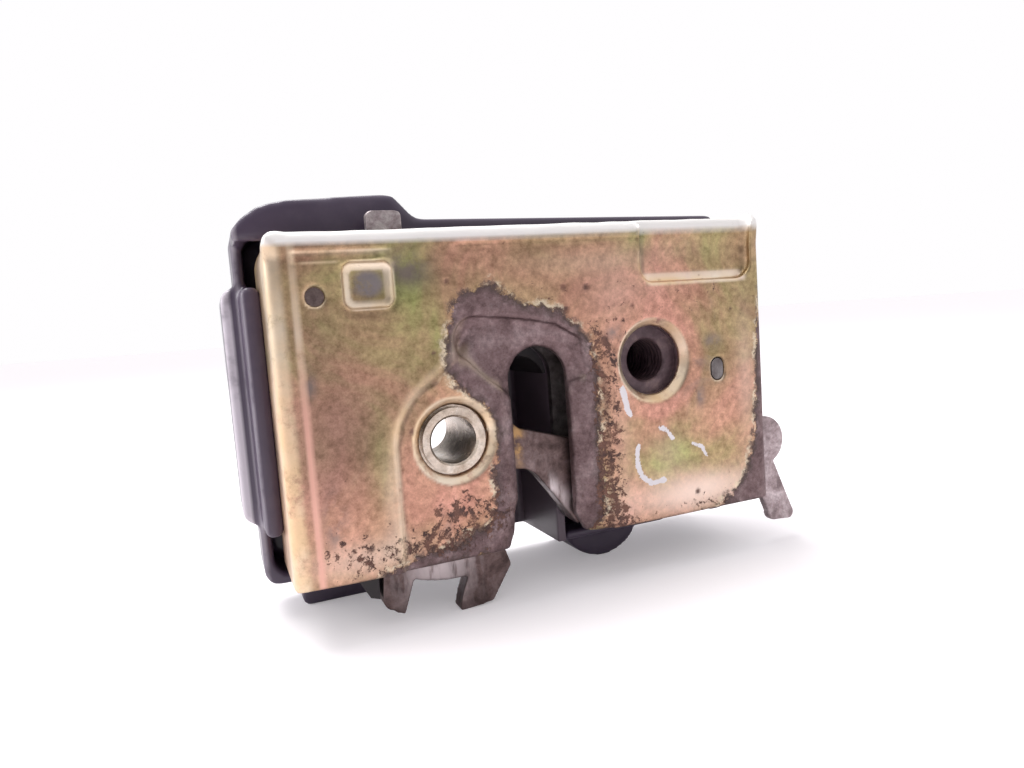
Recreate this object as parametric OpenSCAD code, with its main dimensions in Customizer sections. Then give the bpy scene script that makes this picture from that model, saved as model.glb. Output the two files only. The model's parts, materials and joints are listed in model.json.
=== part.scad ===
// Rotary latch for a car door, seen from the striker side.
// X runs along the front plate, Y goes into the door, Z is up.
// The origin is on the claw's pivot axis, where the thread of its bush begins.
// Depths are counted from the front face of the plate, and every piece is then moved into that frame.
// The claw stands open and the pawl stands lifted clear of the claw's rim.

/* [Front plate] */
// Width of the pressed steel plate
plate_w = 100; // [96:0.5:104]
// Height of the pressed steel plate
plate_h = 59; // [57:0.5:61]
// Distance from the claw axis to the plate's left edge
plate_left = 29.5; // [28.5:0.25:31]
// Distance from the claw axis down to the plate's lower edge
plate_drop = 22; // [21.5:0.25:22.5]
// Thickness of the pressed sheet
sheet = 2; // [1.6:0.1:2.2]
// Outer radius of the sheet's bends
bend_r = 4; // [3:0.25:5]
// Depth of the flange on the left side
side_flange = 20; // [18:0.5:22]
// Depth of the flanges along the top and the right side
top_flange = 5; // [4.5:0.1:5.5]
// Depth of the pressed field round the slot and the left bush
field_depth = 0.8; // [0.4:0.1:1]
// Depth of the pocket over the head of the slot
pocket_depth = 1.9; // [1.4:0.1:2]
// Depth of the small square recess by the left corner
square_depth = 1.3; // [0.8:0.1:1.6]
// Depth of the recess that runs out over the top edge
corner_depth = 1.8; // [1:0.1:2]

/* [Striker slot] */
// Distance from the claw axis to the middle of the slot
slot_x = 17.2; // [16.8:0.1:17.6]
// Width of the slot
slot_w = 12.2; // [11.8:0.1:12.6]
// Height of the slot's round end above the claw axis
slot_top = 15.6; // [15:0.1:16]
// Diameter of the striker pin that the claw holds
striker_d = 11; // [10.6:0.1:11.2]
// Height of the striker above the claw axis when the claw is shut
striker_z = 8; // [7.6:0.1:8.2]

/* [Fixing bushes] */
// Distance between the claw axis and the pawl axis along the plate
bush_span = 42.9; // [42.5:0.1:43.5]
// Height of the pawl axis above the claw axis
bush_rise = 10.8; // [10.4:0.1:11.2]
// Outer diameter of both bushes where the claw and the pawl turn on them
journal_d = 12; // [11.6:0.1:12.4]
// Diameter of the tapped bore in both bushes
thread_d = 8.6; // [8.2:0.1:9]
// Depth of the rear end of both bushes below the plate's front face
bush_end = 20; // [18.5:0.25:21]
// Radial running clearance of every turning piece on its pivot
run_gap = 0.06; // [0.04:0.01:0.08]

/* [Claw] */
// Thickness of the claw and of the pawl
claw_t = 4; // [3.6:0.1:4.2]
// Radius of the claw's rim
claw_r = 33; // [32.6:0.1:33.2]
// Swing of the claw from open to shut
claw_swing = 72; // [71:0.5:73]
// Radius of the claw's hub
claw_hub_r = 10.5; // [10:0.1:11]
// Radius of the floor of the locking notch
notch_r = 26.6; // [26:0.1:27]
// Clearance of the striker in the claw's mouth
mouth_gap = 0.6; // [0.4:0.1:0.8]

/* [Pawl and release] */
// Angle that the pawl drops from its rest into the claw's notch
pawl_drop = 9; // [8:0.5:9.5]
// Radial clearance between the lifted pawl and the claw's rim
rim_gap = 0.6; // [0.4:0.1:0.9]
// Thickness of the pawl's nose along the claw's rim
nose_t = 5; // [4.5:0.1:5.4]
// Radius of the pawl's hub
pawl_hub_r = 9; // [8.5:0.1:9.5]
// Distance of the drive pin from the pawl axis and from the release lever's pin
drive_arm = 13; // [12.6:0.1:13.4]
// Diameter of the drive pin between pawl and release lever
drive_pin_d = 3; // [2.8:0.1:3.2]
// Thickness of the release lever
release_t = 1.7; // [1.5:0.1:1.8]
// Diameter of the pin that the release lever turns on
lever_pin_d = 5; // [4.6:0.1:5.4]

/* [Locking lever] */
// Distance from the claw axis to the locking lever's pin, to the left
lock_pin_x = 22.3; // [21.8:0.1:22.8]
// Height of the locking lever's pin above the claw axis
lock_pin_z = 27; // [26.5:0.1:27.5]
// Diameter of the locking lever's pin
lock_pin_d = 3.2; // [3:0.1:3.4]
// Thickness of the locking lever
lock_t = 2; // [1.6:0.1:2.2]
// Width of the locking lever's tab
tab_w = 6.4; // [6:0.1:7]
// Height of the tab's top above the plate's upper edge
tab_rise = 5; // [4.5:0.1:5.5]
// Distance from the locking lever's pin down to the link pin
link_arm = 17; // [16.5:0.1:17.5]
// Diameter of the link pin
link_pin_d = 3.2; // [3:0.1:3.4]

/* [Inner plate] */
// Distance from the plate's front face to the inner plate
inner_y = 9.2; // [9.1:0.05:9.4]
// Thickness of the inner plate
inner_t = 1.5; // [1.3:0.1:1.6]

/* [Rear cover] */
// Depth of the whole lock from the plate's front face
cover_back = 38; // [36:0.5:40]
// Wall of the moulded cover
cover_wall = 2; // [1.8:0.1:2.2]
// Depth at which the cover's front edge starts
cover_front = 11.5; // [11.2:0.1:12]
// Height of the cover above the plate's upper edge
cover_over = 4.2; // [4:0.1:4.6]
// Height of the raised hood above the rest of the cover's top
hood_rise = 4.6; // [4:0.1:5]
// Depth of the cover below the plate's lower edge
cover_under = 4.5; // [4:0.1:5]
// Depth of the foot under the cover, below the claw axis
foot_drop = 33; // [33:0.1:33.4]
// Diameter of the lock motor's can
motor_d = 21; // [20:0.5:21]
// Length of the lock motor's can
motor_len = 26; // [24:0.5:26.5]

/* [Hidden] */

$fn = 64;
eps = 0.01;
big = 200;

// Edges of the front plate
left = -plate_left;
right = plate_w - plate_left;
bottom = -plate_drop;
top = plate_h - plate_drop;

// Recesses in the plate: places along x, drops below the top edge and corner radii
square_x = [-17.6, -9];
square_drop = [4.5, 12.4];
square_r = 1.6;
corner_edge = 2.6;
corner_w = 26.9;
corner_drop = 10.6;
corner_r = 3;

// Pivot axes, as x and z
claw_at = [0, 0];
pawl_at = [bush_span, bush_rise];
drive_dir = -45;
drive_at = pawl_at + drive_arm * [cos(drive_dir), sin(drive_dir)];
lever_at = pawl_at + 2 * drive_arm * [cos(drive_dir), sin(drive_dir)];
lock_at = [-lock_pin_x, lock_pin_z];
link_at = lock_at - [0, link_arm];

// Layers in depth
side_gap = 0.6;
loose_gap = 0.3;
face_play = 0.1;
claw_y = pocket_depth + sheet + side_gap;
claw_back = claw_y + claw_t;
release_y = sheet + 0.4;
lock_y = inner_y - 0.3 - lock_t;
inner_back = inner_y + inner_t;
rear_gap = 0.4;
rear_y = inner_back + rear_gap;
rear_t = 1.6;
clip_y = release_y + release_t + face_play;
clip_t = 0.5;

// Striker slot and the claw's mouth, with the claw shut
slot_r = slot_w / 2;
slot_left = slot_x - slot_r;
slot_right = slot_x + slot_r;
striker_at = [slot_x, striker_z];
mouth_r = striker_d / 2 + mouth_gap;
mouth_flare = 18;
jaw_r = 29;
jaw_back = 62;

// Locking face: an arc about the pawl axis, met by the claw's rim at lock_angle
lock_angle = -18.8;
lock_corner = claw_r * [cos(lock_angle), sin(lock_angle)];
lock_r = norm(lock_corner - pawl_at);
face_gap = 0.2;
nose_r = 29.9;

// Moulded channel behind the slot, and the pad at its head
guide_gap = 0.6;
guide_wall = 2;
guide_back = 31;
pad_t = 2.4;

// Left bush and right bush
journal_r = journal_d / 2;
bore_r = thread_d / 2;
bore_chamfer = 0.4;
collar_r = journal_r + 1.6;
left_rim_r = journal_r + 1.9;
left_hole_r = journal_r + 0.4;
right_rim_r = 8.5;
right_hole_r = 6.9;
left_bush_y = field_depth + 0.7;
frame_y = left_bush_y + bore_chamfer;
right_bush_y = sheet + 1.3;

// Tenon between the pawl's bush and the right flange
tenon_share = 0.42;
tenon_drop = 3.2;
tenon_half = 0.7;
tenon_w = 3;

// Rear cover
cover_left = left - 4.2;
panel_left = cover_left - 2.7;
cover_right = right - 1;
cover_top = top + cover_over;
cover_bottom = bottom - cover_under;
hood_top = cover_top + hood_rise;
hood_right = cover_left + 28.8;
side_y = side_flange + 0.3;
foot_x = 37.5;
foot_r = 10;
foot_front = 16;
socket_x = [-27, -9];
socket_front = 24;

// The cover's back lies lower than the round housing of the lock motor
motor_bulge = 4;
motor_seat = 0.3;
motor_r = motor_d / 2;
housing_r = motor_r + motor_seat + cover_wall;
flat_back = cover_back - motor_bulge;
motor_left = left + sheet + 0.8;
motor_y = cover_back - housing_r;
motor_z = cover_top - cover_wall - housing_r - 2.4;

// Rail of the lock link
rail_w = 4.4;
rail_z = slot_top + 5.9;
rail_end = [bush_span - 14.9, rail_z];

// Moves a piece from depths below the plate's front face into the lock's own frame
module in_frame() {
    translate([0, -frame_y, 0])
        children();
}

// A flat outline in x and z, standing from depth y0 to y1
module slab(y0, y1) {
    translate([0, y1, 0])
        rotate([90, 0, 0])
            linear_extrude(y1 - y0)
                children();
}

// A round bar along Y about the axis at, from depth y0 to y1
module bar(at, y0, y1, r, r_end = undef) {
    translate([at[0], y0, at[1]])
        rotate([-90, 0, 0])
            cylinder(h = y1 - y0, r1 = r, r2 = is_undef(r_end) ? r : r_end);
}

// A flat disc in an outline, centred on at
module disc(at, r) {
    translate(at)
        circle(r);
}

// An outline turned about the axis at
module turned(at, angle) {
    translate(at)
        rotate(angle)
            translate(-at)
                children();
}

// A straight bar with round ends between two places
module strap(a, b, w) {
    run = b - a;
    disc(a, w / 2);
    disc(b, w / 2);
    translate(a)
        rotate(atan2(run[1], run[0]))
            translate([0, -w / 2])
                square([norm(run), w]);
}

// A rectangle with its corners rounded to r
module rounded(x0, z0, x1, z1, r) {
    translate([x0 + r, z0])
        square([x1 - x0 - 2 * r, z1 - z0]);
    translate([x0, z0 + r])
        square([x1 - x0, z1 - z0 - 2 * r]);
    for (x = [x0 + r, x1 - r], z = [z0 + r, z1 - r])
        disc([x, z], r);
}

// A pie slice from the claw axis between two angles
module slice(from, to, r) {
    steps = 8;
    turn = (to - from) / steps;
    polygon(concat(
        [[0, 0]],
        [for (i = [0:steps]) r / cos(turn / 2) * [cos(from + i * turn), sin(from + i * turn)]]
    ));
}

// Points of a round spring wire that winds about the Y axis
function coil_point(r, pitch, start, angle) =
    [r * cos(start + angle), pitch * angle / 360, r * sin(start + angle)];

// A wound spring wire, swept as one closed skin
module coil(r, wire_r, turns, pitch, start) {
    sides = 8;
    rings = round(turns * 28);
    step = turns * 360 / rings;
    points = [
        for (i = [0:rings], k = [0:sides - 1])
            let (a = i * step, c = coil_point(r, pitch, start, a), s = k * 360 / sides)
                c + wire_r * [
                    cos(s) * cos(start + a), sin(s), cos(s) * sin(start + a)
                ]
    ];
    skin = [
        for (i = [0:rings - 1], k = [0:sides - 1])
            let (n = (k + 1) % sides)
                [i * sides + k, (i + 1) * sides + k, (i + 1) * sides + n, i * sides + n]
    ];
    head = [[for (k = [0:sides - 1]) k]];
    tail = [[for (k = [sides - 1:-1:0]) rings * sides + k]];
    polyhedron(points, concat(skin, head, tail), convexity = 8);
}

// Outline of the fishmouth slot, widened by grow
module slot_outline(grow) {
    r = slot_r + grow;
    low = bottom - 1;
    disc([slot_x, slot_top - slot_r], r);
    translate([slot_x - r, low])
        square([2 * r, slot_top - slot_r - low]);
}

// The slot's mouth, flared where it meets the lower edge
module slot_flare(grow) {
    polygon([
        [slot_left - grow, bottom + 9],
        [slot_left - 1.1 - grow, bottom + 7],
        [slot_left - 1.1 - grow, bottom + 3],
        [slot_left - 2.8 - grow, bottom - 1],
        [slot_right + 3 + grow, bottom - 1],
        [slot_right + grow, bottom + 4]
    ]);
}

// Shallow pressed field round the slot and the left bush
module field_outline(grow) {
    disc(claw_at, 11.3 + grow);
    polygon([
        [-11.3 - grow, 0],
        [-11.3 - grow, bottom - 1],
        [slot_right + 8.1 + grow, bottom - 1],
        [slot_right + 8.1 + grow, 8.6],
        [slot_right + 6 + grow, 14 + grow],
        [slot_right + 2.4, 17.4 + grow],
        [4, 17.4 + grow],
        [-2, 12]
    ]);
}

// Deeper pocket over the slot's head
module pocket_outline(grow) {
    disc([5.2, 18], 4.1 + grow);
    polygon([
        [5.2, 22.1 + grow],
        [14.4, 21.1 + grow],
        [21.5, 19.6 + grow],
        [slot_right + 3.4 + grow, 16.4 + grow],
        [slot_right + 4.4 + grow, 9],
        [slot_left, 6.4 - grow],
        [3, 14.6 - grow]
    ]);
}

// Small square recess by the left corner
module square_recess(grow) {
    low = top - square_drop[1];
    high = top - square_drop[0];
    rounded(square_x[0] - grow, low - grow, square_x[1] + grow, high + grow, square_r + grow);
}

// Recess that runs out over the top edge
module corner_recess(grow) {
    x1 = right - corner_edge;
    low = top - corner_drop;
    rounded(x1 - corner_w - grow, low - grow, x1 + grow, top + corner_drop, corner_r + grow);
}

// A box rounded where the front face meets the left, right and top flanges
module tray(inset, r) {
    x0 = left + inset;
    x1 = right - inset;
    z1 = top - inset;
    low = bottom - (inset > 0 ? 1 : 0);
    back = side_flange + (inset > 0 ? 1 : 0);
    intersection() {
        slab(inset, back)
            rounded_top(x0, low, x1, z1, r);
        translate([x0, 0, 0])
            rotate([90, 0, 90])
                linear_extrude(x1 - x0)
                    rounded_front(inset, low, back, z1, r);
        translate([0, 0, low])
            linear_extrude(z1 - low)
                polygon_front(x0, inset, x1, back, r);
    }
}

// Front outline of the tray with its upper corners rounded
module rounded_top(x0, z0, x1, z1, r) {
    difference() {
        translate([x0, z0])
            square([x1 - x0, z1 - z0]);
        corner_cut([x0, z1], [1, -1], r);
        corner_cut([x1, z1], [-1, -1], r);
    }
}

// Side outline of the tray with the bend between face and top
module rounded_front(y0, z0, y1, z1, r) {
    difference() {
        translate([y0, z0])
            square([y1 - y0, z1 - z0]);
        corner_cut([y0, z1], [1, -1], r);
    }
}

// Plan outline of the tray with the bends between face and sides
module polygon_front(x0, y0, x1, y1, r) {
    difference() {
        translate([x0, y0])
            square([x1 - x0, y1 - y0]);
        corner_cut([x0, y0], [1, 1], r);
        corner_cut([x1, y0], [-1, 1], r);
    }
}

// What is cut away to round a square corner that opens towards dir
module corner_cut(at, dir, r) {
    difference() {
        translate([at[0] + (dir[0] > 0 ? -1 : -r), at[1] + (dir[1] > 0 ? -1 : -r)])
            square(r + 1);
        disc(at + r * dir, r);
    }
}

module latch_plate() {
    inner_r = bend_r - sheet;
    flange_end = bottom + 22;
    color("darkkhaki") in_frame()
        difference() {
            union() {
                difference() {
                    tray(0, bend_r);
                    tray(sheet, inner_r);
                    // The top and right flanges stop short of the side flange
                    translate([left + bend_r + 2, top_flange, top - bend_r - 1])
                        cube([big, big, big]);
                    translate([right - bend_r - 1, top_flange, -big / 2])
                        cube([big, big, big]);
                    // The right flange leaves room for the release lever
                    translate([right - sheet - 1.2, sheet, bottom - 1])
                        cube([big, big, flange_end - bottom]);
                }
                // Pressed fields stand out on the back of the sheet
                slab(eps, sheet + field_depth)
                    intersection() {
                        field_outline(0.5);
                        translate([left, bottom])
                            square([plate_w, plate_h]);
                    }
                slab(eps, sheet + pocket_depth)
                    pocket_outline(0.5);
                slab(eps, sheet + square_depth)
                    square_recess(0.3);
                slab(eps, sheet + corner_depth)
                    intersection() {
                        corner_recess(0.3);
                        translate([left, bottom])
                            square([plate_w, plate_h - 1]);
                    }
                // The slot's edge is turned inwards
                slab(field_depth, sheet + field_depth + 1.3)
                    intersection() {
                        union() {
                            slot_outline(sheet);
                            slot_flare(sheet);
                        }
                        translate([left, bottom])
                            square([plate_w, plate_h]);
                    }
            }
            slab(-1, field_depth)
                field_outline(0);
            slab(-1, pocket_depth)
                pocket_outline(0);
            slab(-1, square_depth)
                square_recess(0);
            slab(-1, corner_depth)
                corner_recess(0);
            slab(-1, big / 4) {
                slot_outline(0);
                slot_flare(0);
            }
            // Left bush: a dished rim and a clearance hole
            bar(claw_at, field_depth - eps, field_depth + 1.3, left_rim_r, left_hole_r);
            bar(claw_at, 0, sheet + 1, left_hole_r);
            // Right bush: a deeper dish
            bar(pawl_at, -eps, 1.5, right_rim_r, right_hole_r);
            bar(pawl_at, 0, sheet + 1, right_hole_r);
            // Hole for the locking lever's pin and slot for the inner plate's tenon
            bar(lock_at, -1, sheet + 1, lock_pin_d / 2);
            slab(-1, sheet + 1)
                tenon_outline(0.2);
        }
}

// Tenon of the inner plate, seen in the plate's oblong slot
module tenon_outline(grow) {
    bush_side = bush_span + right_rim_r;
    flange_side = right - sheet;
    at = [bush_side + tenon_share * (flange_side - bush_side), bush_rise - tenon_drop];
    strap(at - [0, tenon_half], at + [0, tenon_half], tenon_w + 2 * grow);
}

// The window round the claw's bush and the striker's way through the inner plate
module inner_outline() {
    reach = max([top - 4.5, for (at = screw_places) at[1] + screw_r + 2]);
    rounded(left + sheet + 0.6, bottom + 1.5, right - 4, reach, 2);
}

module inner_plate() {
    arc_r = drive_arm;
    color("slategray") in_frame() {
        difference() {
            slab(inner_y, inner_back)
                difference() {
                    inner_outline();
                    slot_outline(0.5);
                    slot_flare(0.5);
                    disc(claw_at, journal_r);
                    disc(pawl_at, journal_r);
                    disc(lock_at, lock_pin_d / 2);
                    disc(lever_at, lever_pin_d / 2 - 0.5);
                    drive_window(arc_r);
                    link_window();
                    for (at = screw_places)
                        disc(at, screw_r);
                }
        }
        slab(0.3, inner_y)
            tenon_outline(0);
    }
}

// Arc through which the drive pin reaches the outside lever
module drive_window(r) {
    half = pawl_drop + 5;
    intersection() {
        difference() {
            disc(pawl_at, r + drive_pin_d / 2 + 0.6);
            disc(pawl_at, r - drive_pin_d / 2 - 0.6);
        }
        translate(pawl_at)
            slice(drive_dir - half - 8, drive_dir + half + 8, r + 6);
    }
}

// Slot through which the link pin reaches the link
module link_window() {
    half = link_pin_d / 2 + 0.8;
    rounded(link_at[0] - half, link_at[1] - half, link_at[0] + 5 + half, link_at[1] + half + 1, 1);
}

module claw_bush() {
    color("lightsteelblue") in_frame()
        difference() {
            union() {
                bar(claw_at, left_bush_y, bush_end, journal_r);
                bar(claw_at, sheet + field_depth, claw_y - 0.2, collar_r);
            }
            bar(claw_at, left_bush_y - 1, bush_end + 1, bore_r);
            bar(claw_at, left_bush_y - eps, left_bush_y + bore_chamfer, bore_r + bore_chamfer, bore_r);
        }
}

module pawl_bush() {
    color("dimgray") in_frame()
        difference() {
            union() {
                bar(pawl_at, right_bush_y, bush_end, journal_r);
                bar(pawl_at, sheet, claw_y - 0.2, right_rim_r);
            }
            bar(pawl_at, sheet - 1, right_bush_y, right_hole_r);
            bar(pawl_at, right_bush_y - 1, bush_end + 1, bore_r);
            bar(pawl_at, right_bush_y - eps, right_bush_y + bore_chamfer, bore_r + bore_chamfer, bore_r);
        }
}

// Claw outline as it stands when shut, with the striker at the end of its mouth
module claw_shut() {
    difference() {
        union() {
            disc(claw_at, claw_hub_r);
            intersection() {
                disc(claw_at, claw_r);
                claw_body();
            }
            disc([22.6, -20.6], 2.2);
        }
        // Mouth, level below and flared above
        disc(striker_at, mouth_r);
        polygon([
            striker_at - [0, mouth_r],
            [big, striker_z - mouth_r],
            striker_at + mouth_r * [-sin(mouth_flare), cos(mouth_flare)]
                + big * [cos(mouth_flare), sin(mouth_flare)],
            striker_at + mouth_r * [-sin(mouth_flare), cos(mouth_flare)]
        ]);
        // The load arm's end is cut back beside its mouth
        polygon([
            [striker_at[0] + 10.8, striker_z - mouth_r + eps],
            [claw_r + 3, striker_z - mouth_r + eps],
            [claw_r + 3, -6],
            [claw_r - 0.5, -3.7]
        ]);
        // The jaw's rim lies lower, except for its tip
        difference() {
            slice(39, 100, claw_r + 5);
            disc(claw_at, jaw_r);
        }
        // Locking notch
        difference() {
            slice(-37.5, lock_angle + 6, claw_r + 5);
            disc(claw_at, notch_r);
            disc(pawl_at, lock_r);
        }
        disc(claw_at, journal_r + run_gap);
    }
}

// Sector of the claw before its mouth and notch are cut
module claw_body() {
    polygon([
        [-5.4, claw_hub_r - 2.4],
        [4.3, 13.4],
        (jaw_r + 6) * [cos(jaw_back), sin(jaw_back)],
        [claw_r + 12, 26],
        [claw_r + 12, -12],
        [claw_r + 2, -26],
        [24.6, -21.4],
        [21.6, -22.6],
        [14, -19.5],
        [-2.8, 1.2 - claw_hub_r]
    ]);
}

module claw() {
    color("rosybrown") in_frame()
        slab(claw_y, claw_back)
            turned(claw_at, -claw_swing)
                claw_shut();
}

// Pawl outline as it stands when dropped into the claw's notch
module pawl_dropped() {
    difference() {
        union() {
            disc(pawl_at, pawl_hub_r);
            intersection() {
                polygon([
                    pawl_at + [-pawl_hub_r, 0],
                    [27, -7],
                    [24, -15],
                    [30.5, -20],
                    [38.5, -15.5],
                    pawl_at + [pawl_hub_r - 1, -pawl_hub_r + 4],
                    pawl_at
                ]);
                disc(pawl_at, lock_r + face_gap + nose_t);
            }
            turned(pawl_at, -pawl_drop)
                strap(pawl_at, drive_at, 8);
        }
        // The arm clears the claw's rim, and the nose reaches under the locking face
        intersection() {
            disc(claw_at, claw_r + rim_gap);
            disc(pawl_at, lock_r + face_gap);
        }
        disc(claw_at, nose_r);
        disc(pawl_at, journal_r + run_gap);
        turned(pawl_at, -pawl_drop)
            disc(drive_at, drive_pin_d / 2);
    }
}

module pawl() {
    color("tan") in_frame()
        slab(claw_y, claw_back)
            turned(pawl_at, pawl_drop)
                pawl_dropped();
}

module drive_pin() {
    color("silver") in_frame()
        bar(drive_at, release_y, rear_y + rear_t, drive_pin_d / 2);
}

module outside_lever() {
    color("goldenrod") in_frame()
        slab(rear_y, rear_y + rear_t)
            difference() {
                union() {
                    disc(pawl_at, journal_r + 3);
                    strap(pawl_at, drive_at, 7.6);
                    strap(drive_at, rod_end, 8);
                }
                disc(pawl_at, journal_r + run_gap);
                disc(drive_at, drive_pin_d / 2);
                disc(rod_end, rod_hole_r);
            }
}

// Places of the outside lever's rod hole and of the release lever's round, solid ear
rod_end = pawl_at + [10, -27];
ear_at = [right + 1.9, -9.9];
ear_r = 5.4;
rod_hole_r = 2.4;

module release_lever() {
    color("dimgray") in_frame()
        slab(release_y, release_y + release_t)
            difference() {
                union() {
                    disc(lever_at, 5.6);
                    strap(lever_at, drive_at, 8.2);
                    disc(ear_at, ear_r);
                    polygon([
                        lever_at + [-1, -5.5],
                        ear_at + [-3.2, -8],
                        ear_at + [0.5, -16.6],
                        ear_at + [2, -18.5],
                        ear_at + [5.6, -18.8],
                        ear_at + [7.7, -17.3],
                        ear_at + [2.4, -ear_r + 0.6],
                        ear_at + [0.2, ear_r - 0.1],
                        lever_at + [-2, 5.2]
                    ]);
                    disc(ear_at + [6.2, -17.4], 1.5);
                    disc(ear_at + [2.1, -16.8], 1.7);
                }
                disc(lever_at, lever_pin_d / 2 + run_gap);
                // The drive pin slides a little along the lever as both turn
                drive_slot();
            }
}

// Slot of the release lever for the drive pin
module drive_slot() {
    along = [cos(drive_dir), sin(drive_dir)];
    strap(drive_at - 1.4 * along, drive_at + along, drive_pin_d + 2 * loose_gap);
}

module lever_pin() {
    shoulder_r = lever_pin_d / 2 + 1.6;
    color("silver") in_frame() {
        bar(lever_at, sheet, inner_y, lever_pin_d / 2);
        bar(lever_at, clip_y + clip_t, inner_y, shoulder_r);
        bar(lever_at, inner_y, inner_back, lever_pin_d / 2 - 0.5);
    }
}

module lock_pin() {
    under_flange = top - sheet - loose_gap;
    color("dimgray") in_frame() {
        bar(lock_at, 0.6, inner_back, lock_pin_d / 2);
        // The collar has a flat where it comes near the top flange
        intersection() {
            bar(lock_at, sheet, lock_y - 0.3, lock_pin_d / 2 + 1.8);
            slab(0, lock_y)
                translate([left, under_flange - plate_h])
                    square([plate_w, plate_h]);
        }
    }
}

// Locking lever with the tab that stands out over the plate
module locking_lever() {
    tab_x = lock_at[0] + 11;
    tab_top = top + tab_rise;
    crook_z = lock_at[1] + 2;
    color("darkgray") in_frame()
        slab(lock_y, lock_y + lock_t)
            difference() {
                union() {
                    disc(lock_at, lock_pin_d / 2 + 3);
                    strap(lock_at, link_at, 7);
                    strap(lock_at, [tab_x + 2, lock_at[1] + 5], 8);
                    rounded(tab_x, crook_z, tab_x + tab_w, tab_top, 1);
                }
                disc(lock_at, lock_pin_d / 2 + run_gap);
                disc(link_at, link_pin_d / 2);
            }
}

module link_pin() {
    color("silver") in_frame() {
        bar(link_at, lock_y, rear_y + rear_t, link_pin_d / 2);
    }
}

// Link that slides behind the inner plate when the locking lever is turned
module lock_link() {
    color("lightgray") in_frame()
        slab(rear_y, rear_y + rear_t)
            difference() {
                union() {
                    strap(link_at - [0, 1.5], link_at + [0, 1.5], link_pin_d + 4);
                    strap(link_at, [link_at[0], rail_z], 5);
                    strap([link_at[0], rail_z], rail_end, rail_w);
                    strap(rail_end, rail_end + [3, 2.5], rail_w);
                }
                strap(link_at - [0, 1.5], link_at + [0, 1.5], link_pin_d + 2 * loose_gap);
            }
}

// Rubber stop for the open claw, which shows under the plate's edge
module claw_stop() {
    color("black") in_frame()
        slab(claw_y + 0.2, inner_y)
            polygon([
                [-20.5, -12],
                [-16.6, -12],
                [-15.3, -20],
                [-15.3, -27.4],
                [-17, -26.8],
                [-19.6, -22],
                [-20.5, -19]
            ]);
}

// Rubber buffer that the jaw meets when the claw is shut
module buffer() {
    color("black") in_frame()
        slab(claw_y + 0.2, inner_y)
            polygon([
                [2.6, 14.2],
                [10.6, 23],
                [10.6, 25.8],
                [2, 25.8],
                [-1.5, 22],
                [-1.5, 14.2]
            ]);
}

// Moulded channel that the striker enters
module striker_guide() {
    outer = guide_gap + guide_wall;
    low = cover_bottom + 0.5;
    color([0.16, 0.14, 0.16]) in_frame()
        difference() {
            slab(inner_back, guide_back)
                difference() {
                    union() {
                        slot_outline(outer);
                        translate([slot_left - outer, low])
                            square([slot_w + 2 * outer, slot_top - slot_r - low]);
                    }
                    translate([left, low - big])
                        square([big, big]);
                }
            slab(inner_back - 1, guide_back - guide_wall) {
                slot_outline(guide_gap);
                translate([slot_left - guide_gap, low - 1])
                    square([slot_w + 2 * guide_gap, slot_top - slot_r - low]);
            }
        }
}

// Soft pad at the head of the channel
module striker_pad() {
    r = slot_r + guide_gap;
    head = [slot_x, slot_top - slot_r];
    color("black") in_frame()
        slab(inner_back + 1, guide_back - guide_wall)
            difference() {
                disc(head, r);
                disc(head - [0, pad_t], r);
                translate([slot_left - 2, head[1] - 2 * r])
                    square([4 * r, 2 * r]);
            }
}

module claw_spring() {
    wire_r = 0.8;
    mean_r = journal_r + 1.2;
    color("gainsboro") in_frame()
        translate([0, rear_y + wire_r + 0.2, 0])
            coil(mean_r, wire_r, 2.75, 2 * wire_r + 0.2, 100);
}

module pawl_spring() {
    wire_r = 0.7;
    mean_r = journal_r + 1.2;
    color("gainsboro") in_frame()
        translate([pawl_at[0], rear_y + rear_t + wire_r + 0.3, pawl_at[1]])
            coil(mean_r, wire_r, 2.5, 2 * wire_r + 0.2, 20);
}

// Rings that hold the springs on the rear ends of both bushes
module bush_rings() {
    ring_y = bush_end - 1.6;
    color("gray") in_frame()
        for (at = [claw_at, pawl_at])
            difference() {
                bar(at, ring_y, ring_y + 1.2, journal_r + 2.1);
                bar(at, ring_y - 1, ring_y + 3, journal_r);
            }
}

// Clip that keeps the release lever on its pin
module lever_clip() {
    color("gray") in_frame()
        difference() {
            bar(lever_at, clip_y, clip_y + clip_t, lever_pin_d / 2 + 1.4);
            bar(lever_at, clip_y - 1, clip_y + clip_t + 1, lever_pin_d / 2);
        }
}

// Plastic clip for the pull rod, in the outside lever's end
module rod_clip() {
    clip_back = rear_y + rear_t;
    color("whitesmoke") in_frame()
        difference() {
            union() {
                bar(rod_end, rear_y - 0.3, rear_y, rod_hole_r + 0.8);
                bar(rod_end, rear_y, clip_back, rod_hole_r);
                bar(rod_end, clip_back, clip_back + 4, rod_hole_r + 1);
            }
            bar(rod_end, rear_y - 1, clip_back + 6, rod_hole_r - 1);
        }
}

// Places of the screws that hold the cover to the inner plate
screw_places = [[left + 6.4, bottom + 8], [right - 12, top - 12], [claw_at[0] + 5, rail_z + 6.8]];
screw_r = 1.6;
boss_r = screw_r + 2;

// Outer outline of the cover, seen from the front
module cover_outline(grow) {
    rounded(cover_left - grow, cover_bottom - grow, cover_right + grow, cover_top + grow, 3);
    hood_outline(grow);
}

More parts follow.
